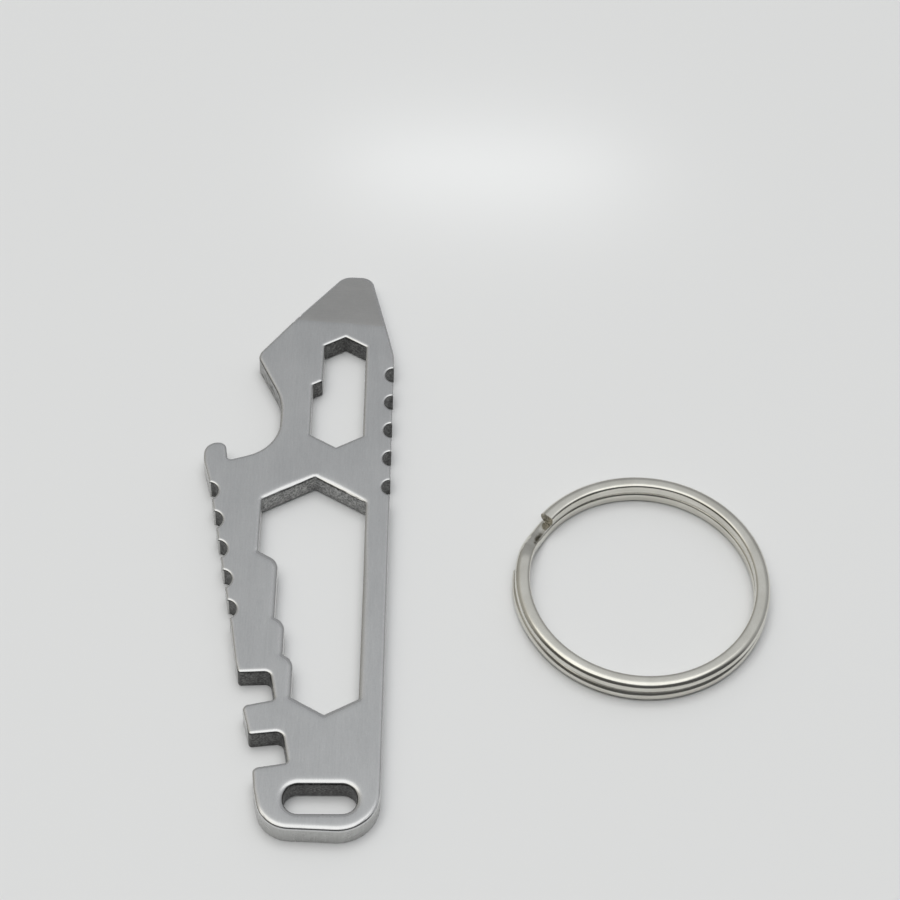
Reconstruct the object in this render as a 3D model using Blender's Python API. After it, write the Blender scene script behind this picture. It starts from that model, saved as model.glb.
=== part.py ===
"""Keychain multi-tool plate with a bottle opener mouth, and its loose split ring.

The frame is the plate's own: +X to the right across the plate, +Y along it towards
the tip, +Z up, and the flat underside at Z = 0. The origin lies on the underside, in
the solid web between the large hexagonal opening and the key-ring slot.
All values are written in millimetres and multiplied by MM where they meet Blender.
"""
import math

import bmesh
import bpy
from mathutils import Vector

MM = 0.001

# Plate stock
PLATE_THICKNESS = 2.5
EDGE_BREAK = 0.2

# Hexagonal wrench openings: nominal key sizes, each cut with the same clearance
HEX_CLEARANCE = 0.3
LARGE_HEXES = (10, 8, 7, 6)
SMALL_HEXES = (4, 5)
LARGE_WALL_X = 2.5
LARGE_TOP_Y = 28.33
LARGE_BOTTOM_Y = 5.68
LARGE_STEP_YS = (22.3, 14.6, 10.4)
LARGE_STEP_ROUND = 1.5
SMALL_WALL_X = 1.95
SMALL_TOP_Y = 48.15
SMALL_BOTTOM_Y = 36.65
SMALL_STEP_Y = 42.95
SMALL_STEP_ROUND = 0.3
HEX_CORNER_ROUND = 0.12
HEX_SLOPE = math.tan(math.radians(30))

# Key-ring slot near the rounded end
SLOT_CENTRE = (-0.65, -5.2)
SLOT_LENGTH = 6.85
SLOT_WIDTH = 3.04
SLOT_CORNER = 1.45
SLOT_TILT = math.radians(1.5)

# Scallops: round bites with their centres just outside the edge
LEFT_SCALLOP_RADIUS = 1.05
RIGHT_SCALLOP_RADIUS = 0.88
SCALLOP_ARC_STEPS = 9
SCALLOP_COUNT = 5
LEFT_EDGE_LOW = Vector((-10.02, 13.8))
LEFT_EDGE_HIGH = Vector((-13.17, 30.5))
LEFT_SCALLOP_FIRST_Y = 15.26
LEFT_SCALLOP_PITCH = 3.5
LEFT_SCALLOP_OFFSET = 0.28
RIGHT_EDGE_X = 4.9
RIGHT_SCALLOP_FIRST_Y = 30.3
RIGHT_SCALLOP_PITCH = 3.56
RIGHT_SCALLOP_OFFSET = 0.02

# Ground tip: both faces slope towards the end, across a line slightly askew
TIP_Y = 58.2
TIP_THICKNESS = 1.0
GRIND_START_Y = 51.2
GRIND_SKEW = math.radians(-3.6)

# Split ring: two turns of flattened wire lying beside the plate
RING_CENTRE = (29.85, 20.1)
RING_OUTER_RADIUS = 12.5
WIRE_WIDTH = 1.46
WIRE_HEIGHT = 1.26
WIRE_GAP = 0.06
WIRE_OUTER_ROUNDNESS = 2.4
WIRE_INNER_ROUNDNESS = 4.2
SECTION_POINTS = 12
RING_START = 142.3
RING_END = 172.6 - 720.0
CROSSOVER_START = 170.0 - 360.0
CROSSOVER_END = 147.0 - 360.0
END_FLARE = 0.22
FLARE_ARC = 45.0
RING_STEP = 6.0

ARC_STEP = math.radians(15)


def rounded(corners, arc_step=ARC_STEP):
    """Closed outline through corners (x, y, radius), each turned by a tangent arc."""
    points = []
    count = len(corners)
    for index, (x, y, radius) in enumerate(corners):
        corner = Vector((x, y))
        before = (Vector(corners[index - 1][:2]) - corner).normalized()
        after = (Vector(corners[(index + 1) % count][:2]) - corner).normalized()
        turn = math.pi - before.angle(after)
        if radius == 0 or turn < 0.01:
            points.append(corner)
            continue
        centre = corner + (before + after).normalized() * radius / math.cos(turn / 2)
        start = corner + before * radius * math.tan(turn / 2) - centre
        steps = max(2, round(turn / arc_step))
        side = 1 if before.cross(after) < 0 else -1
        for step in range(steps + 1):
            angle = side * turn * step / steps
            points.append(centre + rotated(start, angle))
    return points


def rotated(vector, angle):
    """A 2D vector turned counterclockwise by an angle in radians."""
    cosine, sine = math.cos(angle), math.sin(angle)
    return Vector((vector.x * cosine - vector.y * sine, vector.x * sine + vector.y * cosine))


def bitten(points, centre, radius):
    """A counterclockwise outline with a round bite taken out of one straight edge."""
    for index, end in enumerate(points):
        start = points[index - 1]
        along = (end - start).normalized()
        foot = (centre - start).dot(along)
        offset = (centre - start - along * foot).length
        if offset >= radius:
            continue
        half = math.sqrt(radius * radius - offset * offset)
        if foot - half > 0 and foot + half < (end - start).length:
            break
    spoke = start + along * (foot - half) - centre
    sweep = spoke.angle(start + along * (foot + half) - centre)
    bite = [centre + rotated(spoke, -sweep * step / SCALLOP_ARC_STEPS)
            for step in range(SCALLOP_ARC_STEPS + 1)]
    return points[:index] + bite + points[index:]


def scallops():
    """The centres and radii of the two rows of scallops, one row along each long edge."""
    slope = (LEFT_EDGE_HIGH.x - LEFT_EDGE_LOW.x) / (LEFT_EDGE_HIGH.y - LEFT_EDGE_LOW.y)
    for index in range(SCALLOP_COUNT):
        left_y = LEFT_SCALLOP_FIRST_Y + index * LEFT_SCALLOP_PITCH
        left_x = LEFT_EDGE_LOW.x + slope * (left_y - LEFT_EDGE_LOW.y) - LEFT_SCALLOP_OFFSET
        yield Vector((left_x, left_y)), LEFT_SCALLOP_RADIUS
        right_y = RIGHT_SCALLOP_FIRST_Y + index * RIGHT_SCALLOP_PITCH
        yield Vector((RIGHT_EDGE_X + RIGHT_SCALLOP_OFFSET, right_y)), RIGHT_SCALLOP_RADIUS


def outer_outline():
    """The stamped outline, counterclockwise from the rounded end's right corner."""
    slope = (LEFT_EDGE_HIGH.x - LEFT_EDGE_LOW.x) / (LEFT_EDGE_HIGH.y - LEFT_EDGE_LOW.y)
    shoulder_y = 33.1
    hook_side_x = LEFT_EDGE_HIGH.x + slope * (shoulder_y - LEFT_EDGE_HIGH.y) - 0.25
    rounded_end = [(RIGHT_EDGE_X, -8.62, 4.0)]
    tip = [(RIGHT_EDGE_X, 47.1, 6.0), (2.25, TIP_Y, 1.4), (-0.7, TIP_Y, 1.7)]
    claw = [(-9.22, 46.65, 1.2), (-6.45, 41.0, 6.0)]
    mouth = [(-6.45, 34.85, 4.5), (-11.5, 33.15, 0.4)]
    hook = [(-11.8, 35.33, 0.75), (hook_side_x, 35.33, 1.35), (hook_side_x, shoulder_y, 4.0)]
    left_side = [(*LEFT_EDGE_HIGH, 0.0), (*LEFT_EDGE_LOW, 4.0), (-9.3, 9.3, 1.5)]
    upper_notch = [(-8.95, 8.12, 0.35), (-5.93, 8.34, 0.65), (-5.38, 5.28, 0.35), (-8.42, 4.52, 0.55)]
    lower_notch = [(-7.58, 1.36, 0.35), (-4.43, 1.81, 0.75), (-3.83, -1.5, 0.35), (-7.08, -2.15, 0.6)]
    heel = [(-6.85, -4.3, 5.0), (-6.0, -8.38, 3.2)]
    corners = rounded_end + tip + claw + mouth + hook + left_side + upper_notch + lower_notch + heel
    outline = rounded(corners)
    for centre, radius in scallops():
        outline = bitten(outline, centre, radius)
    return outline


def hex_opening(wall_x, top_y, bottom_y, top_size, bottom_size, steps):
    """A stack of hexagons that share their right wall.

    The hexagons' left walls follow each other in steps, given from the top down as
    (y, size below the step, radius of the rounded corner).
    """
    def left_x(size):
        return wall_x - size - HEX_CLEARANCE

    def apex(size, y, direction):
        half = (size + HEX_CLEARANCE) / 2
        return (wall_x - half, y + direction * half * HEX_SLOPE, HEX_CORNER_ROUND)

    corners = [(wall_x, bottom_y, HEX_CORNER_ROUND), (wall_x, top_y, HEX_CORNER_ROUND)]
    corners.append(apex(top_size, top_y, 1))
    corners.append((left_x(top_size), top_y, HEX_CORNER_ROUND))
    size = top_size
    for y, next_size, radius in steps:
        drop = abs(next_size - size) * HEX_SLOPE
        narrower = next_size < size
        outer, inner = (y, y - drop) if narrower else (y + drop, y)
        corners.append((left_x(size), outer, HEX_CORNER_ROUND if narrower else radius))
        corners.append((left_x(next_size), inner, radius if narrower else HEX_CORNER_ROUND))
        size = next_size
    corners.append((left_x(bottom_size), bottom_y, HEX_CORNER_ROUND))
    corners.append(apex(bottom_size, bottom_y, -1))
    return rounded(corners)


def large_opening():
    """Openings for the four larger hexagons, widest towards the mouth."""
    steps = [(y, size, LARGE_STEP_ROUND) for y, size in zip(LARGE_STEP_YS, LARGE_HEXES[1:])]
    return hex_opening(LARGE_WALL_X, LARGE_TOP_Y, LARGE_BOTTOM_Y, LARGE_HEXES[0], LARGE_HEXES[-1], steps)


def small_opening():
    """Openings for the two smaller hexagons, narrowest towards the tip."""
    steps = [(SMALL_STEP_Y, SMALL_HEXES[1], SMALL_STEP_ROUND)]
    return hex_opening(SMALL_WALL_X, SMALL_TOP_Y, SMALL_BOTTOM_Y, *SMALL_HEXES, steps)


def slot():
    """The key-ring slot, a round-ended rectangle turned slightly askew."""
    half_length, half_width = SLOT_LENGTH / 2, SLOT_WIDTH / 2
    corners = []
    for across, along in ((1, -1), (1, 1), (-1, 1), (-1, -1)):
        corner = rotated(Vector((across * half_length, along * half_width)), SLOT_TILT)
        corner += Vector(SLOT_CENTRE)
        corners.append((corner.x, corner.y, SLOT_CORNER))
    return rounded(corners)


def new_collection(name):
    """A collection linked to the scene."""
    collection = bpy.data.collections.new(name)
    bpy.context.scene.collection.children.link(collection)
    return collection


def metal(name, colour, roughness):
    """A plain metallic Principled BSDF material."""
    material = bpy.data.materials.new(name)
    material.use_nodes = True
    shader = material.node_tree.nodes["Principled BSDF"]
    shader.inputs["Base Color"].default_value = (*colour, 1.0)
    shader.inputs["Metallic"].default_value = 1.0
    shader.inputs["Roughness"].default_value = roughness
    return material


def add_spline(curve, points, cyclic):
    """A POLY spline through 2D or 3D points in millimetres."""
    spline = curve.splines.new("POLY")
    spline.points.add(len(points) - 1)
    for target, point in zip(spline.points, points):
        target.co = (*(point.to_3d() * MM), 1.0)
    spline.use_cyclic_u = cyclic


def mesh_from_curve(curve_object, name, collection):
    """A closed mesh object with the shape of a curve object, which is removed."""
    depsgraph = bpy.context.evaluated_depsgraph_get()
    mesh = bpy.data.meshes.new_from_object(curve_object.evaluated_get(depsgraph))
    work = bmesh.new()
    work.from_mesh(mesh)
    bmesh.ops.remove_doubles(work, verts=work.verts, dist=1e-7)
    bmesh.ops.recalc_face_normals(work, faces=work.faces)
    work.to_mesh(mesh)
    work.free()
    result = bpy.data.objects.new(name, mesh)
    result.matrix_world = curve_object.matrix_world
    collection.objects.link(result)
    bpy.data.objects.remove(curve_object)
    return result


def hide_as_cutter(cutter, name, collection):
    """Name a cutter, move it to the cutters' collection and hide it from renders."""
    cutter.name = name
    for owner in list(cutter.users_collection):
        owner.objects.unlink(cutter)
    collection.objects.link(cutter)
    cutter.hide_render = True
    cutter.display_type = "WIRE"
    return cutter


def grind_cutter(name, side, collection):
    """A block whose inner face is one ground slope of the tip (side 1 top, -1 underside)."""
    run = TIP_Y - GRIND_START_Y
    angle = math.atan2((PLATE_THICKNESS - TIP_THICKNESS) / 2, run)
    size = 4 * run
    bpy.ops.mesh.primitive_cube_add(size=size * MM)
    block = bpy.context.object
    bpy.ops.object.transform_apply(location=False, rotation=False, scale=True)
    block.rotation_euler = (-side * angle, 0.0, GRIND_SKEW)
    face_z = PLATE_THICKNESS / 2 + side * PLATE_THICKNESS / 2
    centre = Vector((0.0, GRIND_START_Y, face_z))
    along = Vector((0.0, math.cos(angle), -side * math.sin(angle)))
    outward = Vector((0.0, math.sin(angle), side * math.cos(angle)))
    block.location = (centre + along * size / 2 + outward * size / 2) * MM
    return hide_as_cutter(block, name, collection)


def build_plate(parts, cutters):
    """The tool plate: outline with its openings, broken edges and ground tip."""
    curve = bpy.data.curves.new("plate_outline", "CURVE")
    curve.dimensions = "2D"
    curve.fill_mode = "BOTH"
    curve.extrude = (PLATE_THICKNESS / 2 - EDGE_BREAK) * MM
    curve.bevel_depth = EDGE_BREAK * MM
    curve.bevel_resolution = 0
    curve.offset = -EDGE_BREAK * MM
    for outline in (outer_outline(), large_opening(), small_opening(), slot()):
        add_spline(curve, outline, cyclic=True)
    blank = bpy.data.objects.new("plate_outline", curve)
    parts.objects.link(blank)
    blank.location.z = PLATE_THICKNESS / 2 * MM
    bpy.context.view_layer.update()
    plate = mesh_from_curve(blank, "tool_plate", parts)
    grind_cutter("tip_grind_top", 1, cutters)
    grind_cutter("tip_grind_underside", -1, cutters)
    cut = plate.modifiers.new("ground_tip", "BOOLEAN")
    cut.operation = "DIFFERENCE"
    cut.operand_type = "COLLECTION"
    cut.collection = cutters
    cut.solver = "EXACT"
    plate.data.materials.append(metal("satin_stainless", (0.55, 0.56, 0.57), 0.38))
    return plate


def smooth(fraction):
    """Smoothstep of a fraction, held to the range 0 to 1."""
    fraction = min(1.0, max(0.0, fraction))
    return fraction * fraction * (3 - 2 * fraction)


def coil_point(degrees):
    """A point of the wire's centre line, about the ring's own axis, at an angle in degrees.

    The angle falls from RING_START to RING_END, so the wire winds clockwise and down.
    """
    lower_z = WIRE_HEIGHT / 2
    upper_z = lower_z + WIRE_HEIGHT + WIRE_GAP
    sunk = smooth((CROSSOVER_START - degrees) / (CROSSOVER_START - CROSSOVER_END))
    flare = END_FLARE * smooth((RING_END + FLARE_ARC - degrees) / FLARE_ARC)
    radius = RING_OUTER_RADIUS - WIRE_WIDTH / 2 + flare
    angle = math.radians(degrees)
    z = upper_z + (lower_z - upper_z) * sunk
    return Vector((radius * math.cos(angle), radius * math.sin(angle), z))


def wire_section():
    """The flattened wire's section: a superellipse, as wide as the wire across the ring."""
    points = []
    for index in range(SECTION_POINTS):
        angle = math.tau * (index + 0.5) / SECTION_POINTS
        cosine, sine = math.cos(angle), math.sin(angle)
        power = 2 / (WIRE_OUTER_ROUNDNESS if cosine < 0 else WIRE_INNER_ROUNDNESS)
        x = math.copysign(abs(cosine) ** power, cosine) * WIRE_WIDTH / 2
        y = math.copysign(abs(sine) ** power, sine) * WIRE_HEIGHT / 2
        points.append(Vector((x, y)))
    return points


def build_ring(parts, cutters):
    """The split ring: one long wire wound in two turns, with a crossover near its ends."""
    section_curve = bpy.data.curves.new("wire_section", "CURVE")
    section_curve.dimensions = "2D"
    add_spline(section_curve, wire_section(), cyclic=True)
    section = bpy.data.objects.new("wire_section", section_curve)
    hide_as_cutter(section, "wire_section", cutters)
    curve = bpy.data.curves.new("split_ring_path", "CURVE")
    curve.dimensions = "3D"
    curve.twist_mode = "Z_UP"
    curve.bevel_mode = "OBJECT"
    curve.bevel_object = section
    curve.use_fill_caps = True
    steps = round((RING_START - RING_END) / RING_STEP)
    sweep = (RING_END - RING_START) / steps
    add_spline(curve, [coil_point(RING_START + sweep * step) for step in range(steps + 1)], cyclic=False)
    path = bpy.data.objects.new("split_ring_path", curve)
    parts.objects.link(path)
    path.location = (RING_CENTRE[0] * MM, RING_CENTRE[1] * MM, 0.0)
    bpy.context.view_layer.update()
    ring = mesh_from_curve(path, "split_ring", parts)
    bpy.data.objects.remove(section)
    ring.data.materials.append(metal("bright_nickel", (0.74, 0.72, 0.67), 0.16))
    ring.data.shade_smooth()
    ring.data.set_sharp_from_angle(angle=math.radians(40))
    return ring


def main():
    """Clear the scene and build both pieces."""
    for leftover in list(bpy.data.objects):
        bpy.data.objects.remove(leftover)
    parts = new_collection("keychain_bottle_opener")
    cutters = new_collection("cutters")
    build_ring(parts, cutters)
    build_plate(parts, cutters)


main()
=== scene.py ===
"""Looks for the keychain tool plate and the loose split ring that lies beside it.

Both pieces are rebuilt finely over the fixed frame and take its exact sizes: the plate
with rounded rims and separate finishes for its satin face, polished rims, dark punched
walls, ground tip and ground claw, and the ring as one long wire wound in two turns.
Sizes are written in millimetres and multiplied by MM where they leave this file.
"""
import logging
import math
from collections.abc import Iterator
from dataclasses import dataclass, field
from enum import Enum

import bmesh
import bpy
import numpy as np
from mathutils import Matrix, Vector
from mathutils.geometry import delaunay_2d_cdt


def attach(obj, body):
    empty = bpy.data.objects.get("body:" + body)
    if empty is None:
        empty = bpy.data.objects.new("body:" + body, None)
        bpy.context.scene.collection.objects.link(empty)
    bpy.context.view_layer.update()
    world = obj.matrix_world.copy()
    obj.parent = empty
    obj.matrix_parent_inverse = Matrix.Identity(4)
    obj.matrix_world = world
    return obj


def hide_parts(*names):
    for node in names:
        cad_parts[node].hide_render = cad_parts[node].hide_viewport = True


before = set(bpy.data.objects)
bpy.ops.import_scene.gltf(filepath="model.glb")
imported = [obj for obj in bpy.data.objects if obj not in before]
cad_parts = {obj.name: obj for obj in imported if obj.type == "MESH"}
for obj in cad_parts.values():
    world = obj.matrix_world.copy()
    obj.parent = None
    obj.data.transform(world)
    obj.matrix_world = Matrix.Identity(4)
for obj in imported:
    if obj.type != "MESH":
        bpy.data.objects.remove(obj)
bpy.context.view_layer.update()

MM = 0.001
WELD_DISTANCE = 1e-7
STRAIGHT_TURN = 0.01
LOG = logging.getLogger("tool_plate_looks")

Corner = tuple[float, float, float]
Colour = tuple[float, float, float]
Ramp = list[tuple[float, Colour]]


class Body(Enum):
    """The rigid bodies of the frame."""

    PLATE = "plate"
    RING = "ring"


class Zone(Enum):
    """The differently finished zones of the tool plate, by material slot."""

    FACE = 0
    TIP = 1
    OUTER_WALL = 2
    PUNCHED_WALL = 3
    LARGE_HEX_WALL = 4
    CLAW_WALL = 5


class NodeBoard:
    """A node tree with short calls to place and join its nodes."""

    def __init__(self, tree: bpy.types.NodeTree) -> None:
        """Work on a tree, keeping the nodes it has."""
        self.tree = tree

    def node(self, kind: str, **settings: object) -> bpy.types.Node:
        """Add a node and set its plain properties.

        Args:
            kind: The node's type, without its ShaderNode prefix.
            settings: Property names and values.

        Returns:
            The new node.
        """
        node = self.tree.nodes.new("ShaderNode" + kind)
        for name, value in settings.items():
            setattr(node, name, value)
        return node

    def join(self, output: bpy.types.NodeSocket, target: bpy.types.NodeSocket) -> None:
        """Link an output socket to an input socket."""
        self.tree.links.new(output, target)

    def feed(self, value: bpy.types.NodeSocket | Colour | float,
             target: bpy.types.NodeSocket) -> None:
        """Give an input its value.

        Args:
            value: A plain number or colour, or the socket that supplies it.
            target: The input.
        """
        if isinstance(value, bpy.types.NodeSocket):
            self.join(value, target)
        else:
            target.default_value = (*value, 1.0) if isinstance(value, tuple) else value

    def place(self, scale: Colour) -> bpy.types.NodeSocket:
        """Object coordinates in millimetres, stretched by a scale along each axis.

        Args:
            scale: Multipliers along X, Y and Z.

        Returns:
            The socket of the stretched coordinates.
        """
        coordinates = self.node("TexCoord")
        mapping = self.node("Mapping")
        mapping.inputs["Scale"].default_value = tuple(value / MM for value in scale)
        self.join(coordinates.outputs["Object"], mapping.inputs["Vector"])
        return mapping.outputs["Vector"]

    def noise(self, scale: Colour, detail: float = 3.0, roughness: float = 0.55,
              distortion: float = 0.0) -> bpy.types.NodeSocket:
        """A noise pattern with its own cell size along each axis.

        Args:
            scale: Cells per millimetre along X, Y and Z.
            detail: How many finer layers it has.
            roughness: How strong the finer layers are.
            distortion: How much the pattern is warped.

        Returns:
            The socket of the noise value.
        """
        noise = self.node("TexNoise")
        noise.inputs["Scale"].default_value = 1.0
        noise.inputs["Detail"].default_value = detail
        noise.inputs["Roughness"].default_value = roughness
        noise.inputs["Distortion"].default_value = distortion
        self.join(self.place(scale), noise.inputs["Vector"])
        return noise.outputs["Fac"]

    def ramp(self, value: bpy.types.NodeSocket, stops: Ramp) -> bpy.types.NodeSocket:
        """Colours picked along a ramp.

        Args:
            value: The socket that drives the ramp.
            stops: Positions and colours, in rising order.

        Returns:
            The socket of the ramp's colour.
        """
        ramp = self.node("ValToRGB")
        elements = ramp.color_ramp.elements
        while len(elements) < len(stops):
            elements.new(0.5)
        for element, (position, colour) in zip(elements, stops):
            element.position = position
            element.color = (*colour, 1.0)
        self.join(value, ramp.inputs["Fac"])
        return ramp.outputs["Color"]

    def span(self, value: bpy.types.NodeSocket, low: float, high: float, start: float = 0.3,
             end: float = 0.7, easing: str = "LINEAR") -> bpy.types.NodeSocket:
        """A value stretched onto a new range.

        Args:
            value: The socket to stretch.
            low: The result at start.
            high: The result at end.
            start: The value that gives low.
            end: The value that gives high.
            easing: The Map Range node's interpolation.

        Returns:
            The socket of the stretched value.
        """
        span = self.node("MapRange", interpolation_type=easing)
        ends = (("From Min", start), ("From Max", end), ("To Min", low), ("To Max", high))
        for name, number in ends:
            span.inputs[name].default_value = number
        self.join(value, span.inputs["Value"])
        return span.outputs["Result"]

    def step(self, value: bpy.types.NodeSocket, start: float, end: float) -> bpy.types.NodeSocket:
        """A smooth step from 0 at start to 1 at end."""
        return self.span(value, 0.0, 1.0, start, end, "SMOOTHSTEP")

    def mix(self, amount: bpy.types.NodeSocket | float, first: bpy.types.NodeSocket | Colour,
            second: bpy.types.NodeSocket | Colour, blend: str = "MIX") -> bpy.types.NodeSocket:
        """A blend of two colours.

        Args:
            amount: The second colour's share, or its socket.
            first: The first colour, or its socket.
            second: The second colour, or its socket.
            blend: The Mix node's blend type.

        Returns:
            The socket of the blended colour.
        """
        mix = self.node("Mix", data_type="RGBA", blend_type=blend)
        self.feed(amount, mix.inputs["Factor"])
        for name, colour in (("A", first), ("B", second)):
            self.feed(colour, next(s for s in mix.inputs if s.name == name and s.type == "RGBA"))
        return next(s for s in mix.outputs if s.type == "RGBA")

    def combine(self, first: bpy.types.NodeSocket, second: bpy.types.NodeSocket | float,
                operation: str) -> bpy.types.NodeSocket:
        """A sum, product or other plain result of two values.

        Args:
            first: The first value's socket.
            second: The second value, or its socket.
            operation: The Math node's operation.

        Returns:
            The socket of the result.
        """
        sums = self.node("Math", operation=operation)
        self.join(first, sums.inputs[0])
        self.feed(second, sums.inputs[1])
        return sums.outputs["Value"]


class Bench(NodeBoard):
    """A material's node tree, with its shader."""

    def __init__(self, name: str) -> None:
        """Start a material that holds only a Principled BSDF and its output.

        Args:
            name: The material's name.
        """
        self.material = bpy.data.materials.new(name)
        self.material.use_nodes = True
        super().__init__(self.material.node_tree)
        self.shader = self.tree.nodes["Principled BSDF"]

    def bump(self, heights: list[tuple[bpy.types.NodeSocket, float, float]]) -> None:
        """Stack height patterns onto the shader's normal.

        Args:
            heights: Each pattern's socket, its height in millimetres and its strength.
        """
        below = None
        for height, depth, strength in heights:
            bump = self.node("Bump")
            bump.inputs["Strength"].default_value = strength
            bump.inputs["Distance"].default_value = depth * MM
            self.join(height, bump.inputs["Height"])
            if below is not None:
                self.join(below, bump.inputs["Normal"])
            below = bump.outputs["Normal"]
        self.join(below, self.shader.inputs["Normal"])

    def edge_polish(self) -> bpy.types.NodeSocket:
        """The mesh's own measure of how polished its surface is towards a rim."""
        return self.node("Attribute", attribute_name="edge_polish").outputs["Fac"]

    def colour(self, tone: bpy.types.NodeSocket, low: float, high: float,
               *stops: tuple[float, Colour]) -> None:
        """Colour the shader along a ramp's stops, between a pattern's low and high tones."""
        ramp = self.ramp(self.span(tone, 0.0, 1.0, low, high), list(stops))
        self.join(ramp, self.shader.inputs["Base Color"])

    def gloss(self, pattern: bpy.types.NodeSocket, roughness: tuple[float, float]) -> None:
        """Vary the shader's roughness between two values with a pattern."""
        self.join(self.span(pattern, *roughness), self.shader.inputs["Roughness"])


@dataclass(frozen=True)
class Finish:
    """A metal finish, laid out on a bench by each of its kinds."""

    name: str = "plain_metal"

    def material(self) -> bpy.types.Material:
        """Build the finish as a bare metal.

        Returns:
            The material.
        """
        bench = Bench(self.name)
        bench.shader.inputs["Metallic"].default_value = 1.0
        self.lay_out(bench)
        return bench.material

    def lay_out(self, bench: Bench) -> None:
        """Give the metal its colour, gloss and marks; a plain metal has none."""


@dataclass(frozen=True)
class SatinFace(Finish):
    """The plate's faces: satin steel with fine grain along the plate, polished at the rims."""

    name: str = "satin_steel_face"
    dark: Colour = (0.485, 0.49, 0.495)
    light: Colour = (0.59, 0.595, 0.60)
    rim: Colour = (0.68, 0.68, 0.68)
    roughness: tuple[float, float] = (0.30, 0.38)
    rim_roughness: tuple[float, float] = (0.16, 0.26)
    grain: Colour = (7.0, 0.35, 7.0)
    fine_grain: Colour = (22.0, 1.4, 22.0)

    def lay_out(self, bench: Bench) -> None:
        """Lay fine grain and clouds on the steel, and polish it towards the rims.

        Args:
            bench: The metal's bench.
        """
        grain = bench.noise(self.grain, detail=4.0, roughness=0.6)
        fine = bench.noise(self.fine_grain, detail=2.0, roughness=0.5)
        cloud = bench.noise((0.22, 0.16, 0.22), detail=3.0, roughness=0.5)
        speckle = bench.noise((6.0, 5.0, 6.0), detail=3.0, roughness=0.65)
        wear = bench.noise((1.6, 1.6, 1.6), detail=4.0, roughness=0.6)
        polish = bench.edge_polish()
        marks, shades = bench.combine(grain, fine, "ADD"), bench.combine(cloud, speckle, "ADD")
        tone = bench.span(bench.combine(marks, shades, "ADD"), 0.0, 1.0, 1.5, 2.5)
        satin = bench.ramp(tone, [(0.0, self.dark), (1.0, self.light)])
        bench.join(bench.mix(polish, satin, self.rim), bench.shader.inputs["Base Color"])
        face_gloss = bench.span(bench.combine(grain, cloud, "ADD"), *self.roughness, 0.7, 1.3)
        rim_gloss = bench.span(wear, *self.rim_roughness)
        blend = bench.node("Mix", data_type="FLOAT")
        bench.join(polish, blend.inputs[0])
        bench.join(face_gloss, blend.inputs[2])
        bench.join(rim_gloss, blend.inputs[3])
        bench.join(blend.outputs[0], bench.shader.inputs["Roughness"])
        bench.bump([(grain, 0.006, 0.25), (fine, 0.003, 0.3), (speckle, 0.006, 0.15),
                    (wear, 0.02, 0.2)])


@dataclass(frozen=True)
class GroundTip(SatinFace):
    """The tip's ground slopes: satin steel with the grain across the plate."""

    name: str = "ground_tip"
    dark: Colour = (0.51, 0.505, 0.495)
    light: Colour = (0.59, 0.585, 0.575)
    grain: Colour = (0.5, 8.0, 8.0)
    fine_grain: Colour = (1.6, 20.0, 20.0)


@dataclass(frozen=True)
class OuterWall(Finish):
    """The plate's outer edges: polished, with fine marks up and down the wall."""

    name: str = "polished_outer_wall"
    dark: Colour = (0.47, 0.47, 0.46)
    light: Colour = (0.56, 0.56, 0.55)
    roughness: tuple[float, float] = (0.22, 0.38)

    def lay_out(self, bench: Bench) -> None:
        """Lay marks up and down the wall over soft blotches.

        Args:
            bench: The metal's bench.
        """
        marks = bench.noise((6.0, 6.0, 0.5), detail=4.0, roughness=0.6)
        blotch = bench.noise((0.9, 0.9, 0.9), detail=4.0, roughness=0.6)
        tone = bench.combine(marks, blotch, "ADD")
        bench.colour(tone, 0.75, 1.25, (0.0, self.dark), (1.0, self.light))
        bench.gloss(blotch, self.roughness)
        bench.bump([(marks, 0.004, 0.2), (blotch, 0.02, 0.2)])


@dataclass(frozen=True)
class PunchedWall(Finish):
    """The cut walls of openings, notches and scallops: dark, coarse and mottled."""

    name: str = "dark_punched_wall"
    dark: Colour = (0.055, 0.054, 0.052)
    middle: Colour = (0.12, 0.12, 0.118)
    light: Colour = (0.24, 0.24, 0.235)
    roughness: tuple[float, float] = (0.32, 0.55)

    def lay_out(self, bench: Bench) -> None:
        """Lay pits over the drag marks of the punch.

        Args:
            bench: The metal's bench.
        """
        pits = bench.noise((4.6, 4.6, 4.6), detail=2.0, roughness=0.6)
        drag = bench.noise((1.2, 1.2, 0.9), detail=3.0, roughness=0.6)
        tone = bench.combine(pits, bench.combine(drag, 0.3, "MULTIPLY"), "ADD")
        bench.colour(tone, 0.47, 0.83, (0.0, self.dark), (0.5, self.middle), (1.0, self.light))
        bench.gloss(pits, self.roughness)
        bench.bump([(drag, 0.05, 0.3), (pits, 0.05, 0.5)])


@dataclass(frozen=True)
class ClawWall(Finish):
    """The ground edge of the opener's claw: mid-grey with rough dark patches."""

    name: str = "ground_claw_wall"
    dark: Colour = (0.07, 0.07, 0.07)
    middle: Colour = (0.34, 0.34, 0.335)
    light: Colour = (0.46, 0.46, 0.45)
    roughness: tuple[float, float] = (0.30, 0.50)

    def lay_out(self, bench: Bench) -> None:
        """Lay rough patches over fine pits.

        Args:
            bench: The metal's bench.
        """
        patches = bench.noise((1.3, 1.3, 1.6), detail=4.0, roughness=0.6, distortion=0.3)
        pits = bench.noise((5.0, 5.0, 5.0), detail=3.0, roughness=0.6)
        tone = bench.combine(patches, bench.combine(pits, 0.4, "MULTIPLY"), "ADD")
        bench.colour(tone, 0.55, 0.82, (0.0, self.dark), (0.4, self.middle), (1.0, self.light))
        bench.gloss(pits, self.roughness)
        bench.bump([(patches, 0.06, 0.4), (pits, 0.03, 0.4)])


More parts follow.
